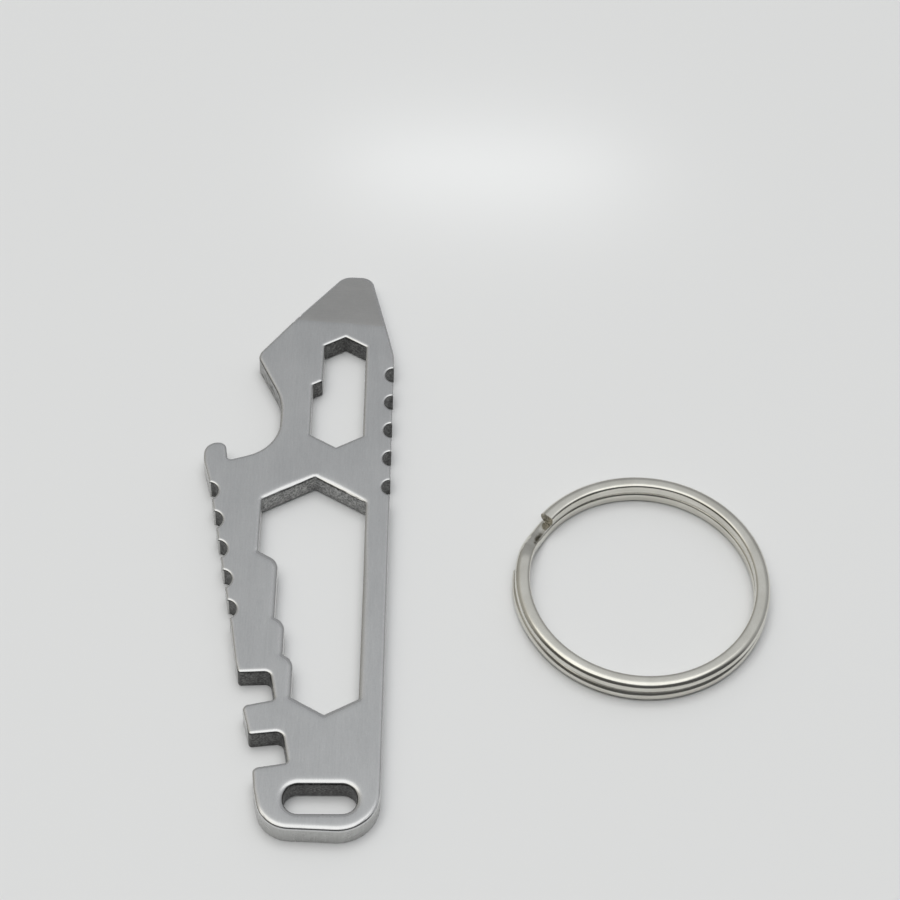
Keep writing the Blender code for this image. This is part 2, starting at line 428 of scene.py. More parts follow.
@dataclass(frozen=True)
class BrightNickel(Finish):
    """The split ring's plated wire: bright, slightly warm, with faint rubbing."""

    name: str = "bright_nickel_wire"
    dark: Colour = (0.65, 0.632, 0.575)
    light: Colour = (0.80, 0.785, 0.725)
    roughness: tuple[float, float] = (0.12, 0.22)

    def lay_out(self, bench: Bench) -> None:
        """Lay faint rubs and drawn lines along the wire over soft clouds; the lines' colour also
        paints dark reflection bands at set heights, where the turns reflect each other.

        Args:
            bench: The metal's bench.
        """
        cloud = bench.noise((0.35, 0.35, 0.9), detail=3.0, roughness=0.5)
        rubs = bench.noise((3.0, 3.0, 9.0), detail=4.0, roughness=0.65)
        drawn_and_reflection_lines = bench.noise((0.08, 0.08, 2.6), detail=2.0, roughness=0.5)
        # Painted reflection: the drawn lines darken the colour in bands along the wire, standing in
        # for the dark reflections between the turns; their bump is the drawn wire's die lines.
        tone = bench.combine(cloud, drawn_and_reflection_lines, "ADD")
        bench.colour(tone, 0.7, 1.3, (0.0, self.dark), (1.0, self.light))
        bench.gloss(rubs, self.roughness)
        bench.bump([(cloud, 0.05, 0.2), (rubs, 0.006, 0.25), (drawn_and_reflection_lines, 0.12, 0.5)])


@dataclass(frozen=True)
class PaleBoard:
    """The table: a pale smooth board with a weak sheen."""

    name: str = "pale_board"
    colour: Colour = (0.70, 0.705, 0.707)

    def material(self) -> bpy.types.Material:
        """Build the board's finish.

        Returns:
            The material.
        """
        bench = Bench(self.name)
        bench.shader.inputs["Base Color"].default_value = (*self.colour, 1.0)
        bench.shader.inputs["Roughness"].default_value = 0.4
        bench.shader.inputs["Specular IOR Level"].default_value = 0.3
        return bench.material


def turned(vector: Vector, angle: float) -> Vector:
    """A 2D vector turned counterclockwise by an angle in radians."""
    return Matrix.Rotation(angle, 2) @ vector


def rounded(corners: list[Corner], arc_step: float) -> list[Vector]:
    """A closed outline through corners, each turned by a tangent arc.

    Args:
        corners: Each corner's x, y and radius.
        arc_step: The angle of one arc segment in radians.

    Returns:
        The outline's points.
    """
    points: list[Vector] = []
    for index, (x, y, radius) in enumerate(corners):
        corner = Vector((x, y))
        before = (Vector(corners[index - 1][:2]) - corner).normalized()
        after = (Vector(corners[(index + 1) % len(corners)][:2]) - corner).normalized()
        turn = math.pi - before.angle(after)
        if radius == 0 or turn < STRAIGHT_TURN:
            points.append(corner)
            continue
        centre = corner + (before + after).normalized() * radius / math.cos(turn / 2)
        spoke = corner + before * radius * math.tan(turn / 2) - centre
        steps = max(3, round(turn / arc_step))
        side = 1 if before.cross(after) < 0 else -1
        points += [centre + turned(spoke, side * turn * step / steps) for step in range(steps + 1)]
    return points


def bitten(points: list[Vector], centre: Vector, radius: float, steps: int) -> list[Vector]:
    """A counterclockwise outline with a round bite taken out of one straight edge.

    Args:
        points: The outline.
        centre: The bite's centre, outside the edge.
        radius: The bite's radius.
        steps: How many segments the bite has.

    Returns:
        The outline with the bite.
    """
    for index, end in enumerate(points):
        start = points[index - 1]
        along = (end - start).normalized()
        foot = (centre - start).dot(along)
        offset = (centre - start - along * foot).length
        if offset >= radius:
            continue
        half = math.sqrt(radius * radius - offset * offset)
        if foot - half > 0 and foot + half < (end - start).length:
            break
    spoke = start + along * (foot - half) - centre
    sweep = spoke.angle(start + along * (foot + half) - centre)
    bite = [centre + turned(spoke, -sweep * step / steps) for step in range(steps + 1)]
    return points[:index] + bite + points[index:]


def smooth(fraction: float) -> float:
    """Smoothstep of a fraction, held to the range 0 to 1."""
    fraction = min(1.0, max(0.0, fraction))
    return fraction * fraction * (3 - 2 * fraction)


def add_spline(curve: bpy.types.Curve, points: list[Vector], cyclic: bool) -> None:
    """Add a straight-segment spline to a curve.

    Args:
        curve: The curve.
        points: 2D or 3D points in millimetres.
        cyclic: Whether the spline is closed.
    """
    spline = curve.splines.new("POLY")
    spline.points.add(len(points) - 1)
    for target, point in zip(spline.points, points):
        target.co = (*(point.to_3d() * MM), 1.0)
    spline.use_cyclic_u = cyclic


def placed(name: str, data: bpy.types.ID) -> bpy.types.Object:
    """Put a new object in the scene.

    Args:
        name: The object's name.
        data: The mesh, curve, camera or light it carries.

    Returns:
        The object.
    """
    item = bpy.data.objects.new(name, data)
    bpy.context.scene.collection.objects.link(item)
    return item


def meshed(curve: bpy.types.Curve, name: str) -> bpy.types.Object:
    """Turn a curve into a welded mesh object.

    Args:
        curve: The curve, which is used up.
        name: The new object's name.

    Returns:
        The mesh object, linked to the scene.
    """
    holder = placed(name + "_curve", curve)
    bpy.context.view_layer.update()
    evaluated = holder.evaluated_get(bpy.context.evaluated_depsgraph_get())
    mesh = bpy.data.meshes.new_from_object(evaluated)
    bpy.data.objects.remove(holder)
    work = bmesh.new()
    work.from_mesh(mesh)
    bmesh.ops.remove_doubles(work, verts=work.verts, dist=WELD_DISTANCE)
    bmesh.ops.recalc_face_normals(work, faces=work.faces)
    work.to_mesh(mesh)
    work.free()
    mesh.name = name
    return placed(name, mesh)


class Boundary:
    """The plate's outline and openings as one set of short segments, for distances."""

    BLOCK = 2000

    def __init__(self, loops: list[list[Vector]], spacing: float) -> None:
        """Split the loops into short segments.

        Args:
            loops: The closed outlines.
            spacing: The longest segment allowed.
        """
        self.loops = [self.split(loop, spacing) for loop in loops]
        self.starts = np.concatenate(self.loops)
        self.ends = np.concatenate([np.roll(loop, -1, axis=0) for loop in self.loops])

    @staticmethod
    def split(loop: list[Vector], spacing: float) -> np.ndarray:
        """A loop with its long segments divided evenly.

        Args:
            loop: The loop's points.
            spacing: The longest segment allowed.

        Returns:
            The points as an array.
        """
        points = []
        for start, end in zip(loop, loop[1:] + loop[:1]):
            parts = max(1, math.ceil((end - start).length / spacing))
            points += [tuple(start.lerp(end, part / parts)) for part in range(parts)]
        return np.array(points)

    def nearest(self, points: np.ndarray) -> tuple[np.ndarray, np.ndarray]:
        """The distance from points to the boundary.

        Args:
            points: The points, one in a row.

        Returns:
            Each point's distance, and the index of its nearest segment.
        """
        along = self.ends - self.starts
        lengths = (along ** 2).sum(1)
        distances = np.empty(len(points))
        indexes = np.empty(len(points), dtype=int)
        for first in range(0, len(points), self.BLOCK):
            block = points[first:first + self.BLOCK, None, :]
            share = np.clip(((block - self.starts) * along).sum(2) / lengths, 0.0, 1.0)
            gaps = np.linalg.norm(block - self.starts - share[..., None] * along, axis=2)
            indexes[first:first + self.BLOCK] = gaps.argmin(1)
            distances[first:first + self.BLOCK] = gaps.min(1)
        return distances, indexes

    def holds(self, points: np.ndarray) -> np.ndarray:
        """Whether points lie in the steel, inside the outline and outside the openings.

        Args:
            points: The points, one in a row.

        Returns:
            True for each point in the steel.
        """
        x, y = points[:, :1], points[:, 1:]
        (x0, y0), (x1, y1) = self.starts.T, self.ends.T
        crosses = (y0 > y) != (y1 > y)
        with np.errstate(divide="ignore", invalid="ignore"):
            left_of = x < (x1 - x0) * (y - y0) / (y1 - y0) + x0
        return (crosses & left_of).sum(1) % 2 == 1


@dataclass(frozen=True)
class RimProfile:
    """How the faces roll off towards the cut walls: gently first, then tightly.

    Each pair is an arc length and the tilt at its end, from the flat face outwards.
    """

    arcs: tuple[tuple[float, float], ...] = ((0.26, 4.0), (0.36, 26.0), (0.20, 70.0), (0.14, 90.0))
    tilt_step: float = 6.0

    def stations(self) -> tuple[np.ndarray, np.ndarray, np.ndarray]:
        """Points of the profile.

        Returns:
            Rising distances from the wall, the drops below the face and the tilts there.
        """
        across, drop, tilt = [0.0], [0.0], [0.0]
        for length, end in self.arcs:
            start = tilt[-1]
            parts = max(2, round((end - start) / self.tilt_step))
            for part in range(1, parts + 1):
                angle = math.radians(start + (end - start) * (part - 0.5) / parts)
                across.append(across[-1] + length / parts * math.cos(angle))
                drop.append(drop[-1] + length / parts * math.sin(angle))
                tilt.append(start + (end - start) * part / parts)
        across, drop, tilt = (np.array(values)[::-1] for values in (across, drop, tilt))
        return across[0] - across, drop, tilt


@dataclass
class ToolPlate:
    """The flat tool plate with its openings, notches, scallops, mouth and ground tip."""

    thickness: float = 2.5
    rim: RimProfile = field(default_factory=RimProfile)
    arc_step: float = math.radians(6)
    spacing: float = 0.5
    dark_tilt: float = 48.0
    fill_spacing: float = 1.3
    fill_margin: float = 1.15
    row_share: float = 0.97
    polish_tilts: tuple[float, float] = (1.0, 14.0)
    smooth_angle: float = math.radians(34)
    upright: float = 0.85
    overhung: float = -0.2
    weld: float = 1e-5
    probe: float = 0.01
    clearance: float = 0.3
    slope: float = math.tan(math.radians(30))
    hex_corner: float = 0.12
    large_wall: float = 2.5
    large_top: float = 28.33
    large_key: float = 10
    peak_depth: float = 6.0
    peak_rim: tuple[float, float, float] = (0.7, 0.55, 1.3)
    opening_rims: tuple[tuple[float, float], ...] = ((1.1, 1.3), (0.62, 0.7), (1.0, 1.2))
    scallop_rim: tuple[float, float] = (0.45, 0.3)
    rounded_end_rim: tuple[float, float] = (1.0, 0.3)
    notch_rim: tuple[float, float] = (0.66, 0.3)
    claw_rim: tuple[float, float] = (0.6, 1.1)
    outline_rim: tuple[float, float] = (0.55, 0.3)
    rim_ease: int = 4
    right_edge: float = 4.9
    rounded_end_y: float = -6.0
    notch_root: float = -3.7
    notch_inner: float = -6.3
    notch_top: float = 9.0
    notch_rows: tuple[tuple[float, float], ...] = ((-1.8, 2.0), (4.6, 8.6))
    mouth_left: float = -11.9
    mouth_rows: tuple[float, float] = (33.0, 37.5)
    claw_root: float = -6.2
    claw_top: float = 46.6
    tip_y: float = 58.2
    tip_thickness: float = 1.0
    grind_y: float = 51.2
    grind_skew: float = math.radians(-3.6)
    grind_ease: float = 0.45
    crease_span: tuple[float, float] = (-9.0, 6.0)
    crease_rows: tuple[float, ...] = (-0.5, -0.25, 0.0, 0.25, 0.5)
    scallop_steps: int = 18
    scallop_count: int = 5
    scallop_margin: float = 0.05
    left_scallops: tuple[float, float, float, float] = (15.26, 3.5, 0.28, 1.05)
    right_scallops: tuple[float, float, float, float] = (30.3, 3.56, 0.02, 0.88)
    slot_centre: Vector = field(default_factory=lambda: Vector((-0.65, -5.2)))
    slot_half: tuple[float, float] = (3.425, 1.52)
    slot_corner: float = 1.45
    slot_tilt: float = math.radians(1.5)
    side_low: Vector = field(default_factory=lambda: Vector((-10.02, 13.8)))
    side_high: Vector = field(default_factory=lambda: Vector((-13.17, 30.5)))

    def side_x(self, y: float) -> float:
        """The slanted left side's x at a height y."""
        share = (y - self.side_low.y) / (self.side_high.y - self.side_low.y)
        return self.side_low.x + (self.side_high.x - self.side_low.x) * share

    def scallops(self) -> Iterator[tuple[Vector, float]]:
        """The scallops along both long edges, from the lowest pair up.

        Each side's row is given by its first y, its pitch, its centres' offset and its radius.

        Yields:
            Each scallop's centre and radius.
        """
        for index in range(self.scallop_count):
            first, pitch, offset, radius = self.left_scallops
            left_y = first + pitch * index
            yield Vector((self.side_x(left_y) - offset, left_y)), radius
            first, pitch, offset, radius = self.right_scallops
            yield Vector((self.right_edge + offset, first + pitch * index)), radius

    def outline(self) -> list[Vector]:
        """The stamped outline, counterclockwise from the rounded end's right corner.

        Returns:
            The outline's points.
        """
        right, tip = self.right_edge, self.tip_y
        shoulder = 33.1
        side = self.side_x(shoulder) - 0.25
        corners = [(right, -8.62, 4.0)]
        corners += [(right, 47.1, 6.0), (2.25, tip, 1.4), (-0.7, tip, 1.7)]
        corners += [(-9.22, 46.65, 1.2), (-6.45, 41.0, 6.0)]
        corners += [(-6.45, 34.85, 4.5), (-11.5, 33.15, 0.4)]
        corners += [(-11.8, 35.33, 0.75), (side, 35.33, 1.35), (side, shoulder, 4.0)]
        corners += [(*self.side_high, 0.0), (*self.side_low, 4.0), (-9.3, 9.3, 1.5)]
        corners += [(-8.95, 8.12, 0.35), (-5.93, 8.34, 0.65)]
        corners += [(-5.38, 5.28, 0.35), (-8.42, 4.52, 0.55)]
        corners += [(-7.58, 1.36, 0.35), (-4.43, 1.81, 0.75)]
        corners += [(-3.83, -1.5, 0.35), (-7.08, -2.15, 0.6)]
        corners += [(-6.85, -4.3, 5.0), (-6.0, -8.38, 3.2)]
        points = rounded(corners, self.arc_step)
        for centre, radius in self.scallops():
            points = bitten(points, centre, radius, self.scallop_steps)
        return points

    def hexes(self, wall_x: float, top_y: float, bottom_y: float, sizes: tuple[float, float],
              steps: list[tuple[float, float, float]]) -> list[Vector]:
        """A stack of hexagons that share their right wall.

        Args:
            wall_x: The shared wall's x.
            top_y: The shared wall's upper end.
            bottom_y: The shared wall's lower end.
            sizes: The key sizes at the top and at the bottom.
            steps: Each step of the left wall, from the top down, as its y, the key size
                below it and the radius of its round corner.

        Returns:
            The opening's outline.
        """
        top_size, bottom_size = (size + self.clearance for size in sizes)
        sharp = self.hex_corner
        corners = [(wall_x, bottom_y, sharp), (wall_x, top_y, sharp)]
        corners.append((wall_x - top_size / 2, top_y + top_size / 2 * self.slope, sharp))
        corners.append((wall_x - top_size, top_y, sharp))
        size = top_size
        for y, key, radius in steps:
            below = key + self.clearance
            drop = abs(below - size) * self.slope
            if below < size:
                corners += [(wall_x - size, y, sharp), (wall_x - below, y - drop, radius)]
            else:
                corners += [(wall_x - size, y + drop, radius), (wall_x - below, y, sharp)]
            size = below
        corners.append((wall_x - bottom_size, bottom_y, sharp))
        corners.append((wall_x - bottom_size / 2, bottom_y - bottom_size / 2 * self.slope, sharp))
        return rounded(corners, self.arc_step)

    def openings(self) -> list[list[Vector]]:
        """The openings' outlines.

        Returns:
            The large opening, the small opening and the key-ring slot.
        """
        large = self.hexes(self.large_wall, self.large_top, 5.68, (10, 6),
                           [(22.3, 8, 1.5), (14.6, 7, 1.5), (10.4, 6, 1.5)])
        small = self.hexes(1.95, 48.15, 36.65, (4, 5), [(42.95, 5, 0.3)])
        across, along = self.slot_half
        slot = []
        for x, y in ((across, -along), (across, along), (-across, along), (-across, -along)):
            corner = turned(Vector((x, y)), self.slot_tilt) + self.slot_centre
            slot.append((*corner, self.slot_corner))
        return [large, small, rounded(slot, self.arc_step)]

    def rim_scale(self, x: float, y: float, loop: int) -> tuple[float, float]:
        """How wide the rims' roll-off is at a point of the boundary.

        Args:
            x: The point's place across the plate.
            y: The point's place along the plate.
            loop: The index of the loop it lies on, the outline being 0.

        Returns:
            The rim profile's scale on the face and on the underside.
        """
        if loop == 1 and y > self.large_top - self.peak_depth:
            narrowest, swell, under = self.peak_rim
            width = self.clearance + self.large_key
            side_share = (x - self.large_wall + width) / (width / 2) % 1.0
            return narrowest + swell * math.sin(math.pi * side_share), under
        if loop > 0:
            return self.opening_rims[loop - 1]
        if self.near_scallop(x, y):
            return self.scallop_rim
        if y < self.rounded_end_y:
            return self.rounded_end_rim
        if x < self.notch_root and y < self.notch_top:
            return self.notch_rim
        return self.claw_rim if self.on_claw(x, y) else self.outline_rim

    def on_claw(self, x: float, y: float) -> bool:
        """Whether a boundary point lies on the claw's ground edge."""
        return x < self.claw_root and self.mouth_rows[1] < y < self.claw_top

    def near_scallop(self, x: float, y: float) -> bool:
        """Whether a boundary point lies on a scallop."""
        return any((Vector((x, y)) - centre).length < radius + self.scallop_margin
                   for centre, radius in self.scallops())

    def rim_scales(self, boundary: Boundary) -> np.ndarray:
        """The rim scales along every loop, eased where they change.

        Args:
            boundary: The plate's boundary.

        Returns:
            Two scales for each of the boundary's points, for the face and the underside.
        """
        eased = []
        for number, loop in enumerate(boundary.loops):
            scales = np.array([self.rim_scale(x, y, number) for x, y in loop])
            shifts = range(-self.rim_ease, self.rim_ease + 1)
            eased.append(np.mean([np.roll(scales, shift, axis=0) for shift in shifts], axis=0))
        return np.concatenate(eased)

    def sites(self, boundary: Boundary, scales: np.ndarray) -> np.ndarray:
        """The inner points of the face's mesh: rows along the rims and a coarse fill.

        Args:
            boundary: The plate's boundary.
            scales: The rim scale at each of the boundary's points.

        Returns:
            The points, one in a row.
        """
        rows = []
        first = 0
        reach = self.rim.stations()[0]
        for loop in boundary.loops:
            ahead, behind = np.roll(loop, -1, axis=0) - loop, loop - np.roll(loop, 1, axis=0)
            ahead /= np.linalg.norm(ahead, axis=1)[:, None]
            behind /= np.linalg.norm(behind, axis=1)[:, None]
            middle = ahead + behind
            middle /= np.linalg.norm(middle, axis=1)[:, None]
            inward = np.stack((-middle[:, 1], middle[:, 0]), axis=1)
            if not boundary.holds(loop[:1] + inward[:1] * self.probe)[0]:
                inward = -inward
            stretch = 1 / (middle * ahead).sum(1)
            local = scales[first:first + len(loop)].max(1)
            for distance in reach[1:]:
                points = loop + inward * (distance * local * stretch)[:, None]
                gaps, _ = boundary.nearest(points)
                keep = (gaps > distance * local * self.row_share) & boundary.holds(points)
                rows.append(points[keep])
            first += len(loop)
        low, high = boundary.starts.min(0), boundary.starts.max(0)
        lines = [np.arange(low[axis], high[axis], self.fill_spacing) for axis in (0, 1)]
        grid = np.stack(np.meshgrid(*lines), axis=-1).reshape(-1, 2)
        gaps, _ = boundary.nearest(grid)
        rows.append(grid[(gaps > reach[-1] * self.fill_margin) & boundary.holds(grid)])
        return np.concatenate(rows)

    def beyond_grind(self, points: np.ndarray) -> np.ndarray:
        """How far points lie beyond the line where the tip's grind starts."""
        normal = np.array((math.sin(-self.grind_skew), math.cos(self.grind_skew)))
        return (points[:, :2] - np.array((0.0, self.grind_y))) @ normal

    def taper(self, points: np.ndarray) -> np.ndarray:
        """How much of the full thickness the tip's grind leaves.

        Args:
            points: Points of the face, one in a row.

        Returns:
            Each point's share of the thickness, eased in where the grind starts.
        """
        run = self.beyond_grind(points)
        eased = np.clip(run + self.grind_ease, 0.0, 2 * self.grind_ease) ** 2 / (4 * self.grind_ease)
        run = np.where(run > self.grind_ease, run, eased)
        slope = (self.thickness - self.tip_thickness) / (self.tip_y - self.grind_y)
        return 1 - slope * run / self.thickness

    def face_mesh(self, boundary: Boundary, scales: np.ndarray) -> tuple[np.ndarray, np.ndarray]:
        """The plate's face as flat triangles.

        Args:
            boundary: The plate's boundary.
            scales: The rim scale at each of the boundary's points.

        Returns:
            The points and the triangles' corners.
        """
        inner = self.sites(boundary, scales)
        crease_x = np.arange(*self.crease_span, self.spacing)
        skew = math.tan(-self.grind_skew)
        creases = [np.stack((crease_x, self.grind_y + offset - crease_x * skew), axis=1)
                   for offset in self.crease_rows]
        points = [Vector(point) for point in np.concatenate([boundary.starts, inner] + creases)]
        edges = []
        first = 0
        for loop in boundary.loops:
            edges += [(first + index, first + (index + 1) % len(loop)) for index in range(len(loop))]
            first += len(loop)
        found = delaunay_2d_cdt(points, edges, [], 0, self.weld)
        flat = np.array([tuple(point) for point in found[0]])
        triangles = np.array(found[2])
        return flat, triangles[boundary.holds(flat[triangles].mean(1))]

    def wall_zone(self, middle: np.ndarray, outward: np.ndarray, loop: int) -> Zone:
        """The finish of an upright wall.

        Args:
            middle: The wall's place across and along the plate.
            outward: The direction to the right of the boundary's run.
            loop: The index of the loop it stands on, the outline being 0.

        Returns:
            The wall's zone.
        """
        x, y = middle
        if loop in (1, 2) and abs(outward[0]) > self.upright:
            return Zone.OUTER_WALL
        if loop == 1:
            return Zone.LARGE_HEX_WALL
        if loop > 1 or self.near_scallop(x, y):
            return Zone.PUNCHED_WALL
        if self.on_claw(x, y):
            return Zone.CLAW_WALL
        low, high = self.mouth_rows
        if self.mouth_left < x < self.claw_root and low < y <= high:
            return Zone.PUNCHED_WALL
        in_notch = x < self.notch_root and any(low < y < high for low, high in self.notch_rows)
        dark = outward[1] < self.overhung or (x > self.notch_inner and outward[0] < 0)
        return Zone.PUNCHED_WALL if in_notch and dark else Zone.OUTER_WALL

    def build(self) -> bpy.types.Object:
        """Build the plate and set it in the frame.

        Returns:
            The plate's object.
        """
        boundary = Boundary([self.outline()] + self.openings(), self.spacing)
        scales = self.rim_scales(boundary)
        flat, triangles = self.face_mesh(boundary, scales)
        gaps, nearest = boundary.nearest(flat)
        reach, drops, tilts = self.rim.stations()
        taper = self.taper(flat)
        corners, tilt, polish = [], [], []
        for side, local in ((1, scales[nearest, 0]), (-1, scales[nearest, 1])):
            height = (self.thickness / 2 - np.interp(gaps / local, reach, drops) * local) * taper
            corners += [(*point, self.thickness / 2 + side * z) for point, z in zip(flat, height)]
            tilt.append(np.interp(gaps / local, reach, tilts))
            polish.append(np.interp(tilt[-1], self.polish_tilts, (0.0, 1.0)))
        count = len(flat)
        sides = [side for a, b, c in triangles.tolist() for side in ((a, b), (b, c), (c, a))]
        known = set(sides)
        rims = [(start, end) for start, end in sides if (end, start) not in known]
        faces = [tuple(face) for face in triangles]
        faces += [tuple(face[::-1] + count) for face in triangles]
        faces += [(end, start, start + count, end + count) for start, end in rims]
        mesh = bpy.data.meshes.new("tool_plate_steel")
        mesh.from_pydata([tuple(value * MM for value in corner) for corner in corners], [], faces)
        walls = self.wall_zones(boundary)
        beside = [walls[nearest[corner]] for corner in triangles[:, 0]]
        ground = self.beyond_grind(flat[triangles].mean(1)) > 0
        zones = []
        for angles in tilt:
            zones += self.face_zones(angles[triangles].mean(1) > self.dark_tilt, beside, ground)
        zones += [walls[nearest[start]] for start, _ in rims]
        self.dress(mesh, zones, np.concatenate(polish))
        plate = placed("tool_plate_steel", mesh)
        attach(plate, Body.PLATE.value)
        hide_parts("tool_plate")
        LOG.info("%s: %d polygons", plate.name, len(mesh.polygons))
        return plate

    def wall_zones(self, boundary: Boundary) -> list[Zone]:
        """The finish of every wall.

        Args:
            boundary: The plate's boundary.

        Returns:
            The zone of the wall under each segment of the boundary.
        """
        ends = np.cumsum([len(loop) for loop in boundary.loops])
        along = boundary.ends - boundary.starts
        outward = np.stack((along[:, 1], -along[:, 0]), axis=1)
        outward /= np.linalg.norm(along, axis=1)[:, None]
        middles = (boundary.starts + boundary.ends) / 2
        loops = np.searchsorted(ends, np.arange(len(along)), side="right")
        return [self.wall_zone(*place) for place in zip(middles, outward, loops.tolist())]

    @staticmethod
    def face_zones(steep: np.ndarray, beside: list[Zone], ground: np.ndarray) -> list[Zone]:
        """The finish of one face, which takes on the walls' where its rims are steep.

        Args:
            steep: Whether each triangle is steep.
            beside: The zone of the wall nearest to each triangle.
            ground: Whether each triangle lies on the tip's grind.

        Returns:
            Each triangle's zone.
        """
        zones = []
        for is_steep, wall, is_ground in zip(steep, beside, ground):
            if is_steep and wall is not Zone.OUTER_WALL:
                zones.append(Zone.PUNCHED_WALL if wall is Zone.CLAW_WALL else wall)
            else:
                zones.append(Zone.TIP if is_ground else Zone.FACE)
        return zones

    def dress(self, mesh: bpy.types.Mesh, zones: list[Zone], polish: np.ndarray) -> None:
        """Give every polygon its zone's finish and smooth the rims.

        Args:
            mesh: The plate's mesh.
            zones: The zone of each polygon.
            polish: How polished each point is, from 0 on the faces to 1 on the rims.
        """
        finishes = {
            Zone.FACE: SatinFace(), Zone.TIP: GroundTip(), Zone.OUTER_WALL: OuterWall(),
            Zone.PUNCHED_WALL: PunchedWall(), Zone.CLAW_WALL: ClawWall(),
            # Painted light: the large opening's walls take a lighter copy of the punched finish,
            # standing in for the brighter floor these walls reflect.
            Zone.LARGE_HEX_WALL: PunchedWall("punched_wall_painted_lighter", (0.12, 0.12, 0.12),
                                             (0.29, 0.29, 0.285), (0.54, 0.54, 0.53)),
        }
        for zone in Zone:
            mesh.materials.append(finishes[zone].material())
        mesh.polygons.foreach_set("material_index", [zone.value for zone in zones])
        layer = mesh.attributes.new("edge_polish", "FLOAT", "POINT")
        layer.data.foreach_set("value", polish)
        mesh.shade_smooth()
        mesh.set_sharp_from_angle(angle=self.smooth_angle)


@dataclass
class SplitRing:
    """The loose ring: one flattened wire wound in two turns, with a crossover near its ends."""

    centre: Vector = field(default_factory=lambda: Vector((29.85, 20.1)))
    outer_radius: float = 12.5
    wire_width: float = 1.46
    wire_height: float = 1.26
    wire_gap: float = 0.06
    outer_power: float = 2.4
    inner_power: float = 4.2
    section_points: int = 36
    start: float = 142.3
    end: float = 172.6 - 720.0
    crossover: tuple[float, float] = (170.0 - 360.0, 147.0 - 360.0)
    flare: float = 0.22
    flare_arc: float = 45.0
    step: float = 2.0
    smooth_angle: float = math.radians(40)
    cap_share: float = 0.7

    def path_point(self, degrees: float) -> Vector:
        """A point of the wire's centre line.

        Args:
            degrees: The angle round the ring, which falls from start to end.

        Returns:
            The point about the ring's own axis.
        """
        low = self.wire_height / 2
        high = low + self.wire_height + self.wire_gap
        sunk = smooth((self.crossover[0] - degrees) / (self.crossover[0] - self.crossover[1]))
        spread = self.flare * smooth((self.end + self.flare_arc - degrees) / self.flare_arc)
        radius = self.outer_radius - self.wire_width / 2 + spread
        angle = math.radians(degrees)
        return Vector((radius * math.cos(angle), radius * math.sin(angle), high + (low - high) * sunk))

    def section(self) -> list[Vector]:
        """The flattened wire's section, rounder on the ring's outside than on its inside.

        Returns:
            The section's points.
        """
        points = []
        for index in range(self.section_points):
            angle = math.tau * (index + 0.5) / self.section_points
            power = 2 / (self.outer_power if math.cos(angle) < 0 else self.inner_power)
            x = math.copysign(abs(math.cos(angle)) ** power, math.cos(angle)) * self.wire_width / 2
            y = math.copysign(abs(math.sin(angle)) ** power, math.sin(angle)) * self.wire_height / 2
            points.append(Vector((x, y)))
        return points

    def build(self) -> bpy.types.Object:
        """Build the ring and set it in the frame.

        Returns:
            The ring's object.
        """
        profile = bpy.data.curves.new("wire_section", "CURVE")
        profile.dimensions = "2D"
        add_spline(profile, self.section(), cyclic=True)
        section = placed("wire_section", profile)
        curve = bpy.data.curves.new("split_ring_wire", "CURVE")
        curve.dimensions = "3D"
        curve.twist_mode = "Z_UP"
        curve.bevel_mode = "OBJECT"
        curve.bevel_object = section
        curve.use_fill_caps = True
        steps = round((self.start - self.end) / self.step)
        sweep = (self.end - self.start) / steps
        path = [self.path_point(self.start + sweep * step) for step in range(steps + 1)]
        add_spline(curve, path, cyclic=False)
        ring = meshed(curve, "split_ring_wire")
        bpy.data.objects.remove(section)
        ring.location = (self.centre * MM).to_3d()
        ring.data.materials.append(BrightNickel().material())
        # The cut ends take a dark copy of the punched finish: partly the sheared metal's own dull
        # tone, partly painted shade for the gap under each cut end.
        sheared_and_shaded_end = PunchedWall("sheared_wire_end_painted_shade", (0.12, 0.11, 0.085), (0.32, 0.30, 0.25),
                              (0.62, 0.58, 0.50))
        ring.data.materials.append(sheared_and_shaded_end.material())
        for polygon in ring.data.polygons:
            around = Vector((-polygon.center.y, polygon.center.x, 0.0)).normalized()
            polygon.material_index = int(abs(polygon.normal.dot(around)) > self.cap_share)
        ring.data.shade_smooth()
        ring.data.set_sharp_from_angle(angle=self.smooth_angle)
        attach(ring, Body.RING.value)
        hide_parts("split_ring")
        LOG.info("%s: %d polygons", ring.name, len(ring.data.polygons))
        return ring


